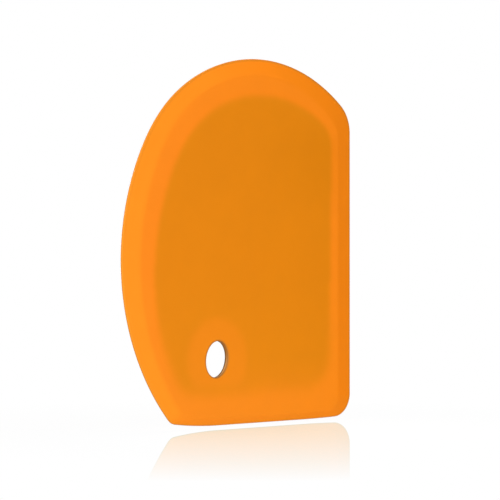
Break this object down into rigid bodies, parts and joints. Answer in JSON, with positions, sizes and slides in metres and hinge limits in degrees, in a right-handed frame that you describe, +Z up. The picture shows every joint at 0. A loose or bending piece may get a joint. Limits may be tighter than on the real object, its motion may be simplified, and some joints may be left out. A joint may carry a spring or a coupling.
{
  "type": "bowl scraper",
  "caption": "D-shaped flexible bowl scraper: a soft silicone body tapering to a thin lip, moulded over a stiff flat core, with a hanging hole.",
  "frame": {"origin": "on the floor under the middle of the upright scraper: the middle of the bounding box, at the short straight edge", "axes": "+Z up from the short straight edge to the crown, +X to the long straight edge, -Y out of the front face that the picture shows"},
  "size_m": [0.12, 0.0022, 0.14],
  "materials": {
    "silicone": "satin",
    "core": "matte"
  },
  "bodies": {
    "root": {"silicone_body": "silicone", "stiffener_core": "core"}
  },
  "joints": []
}
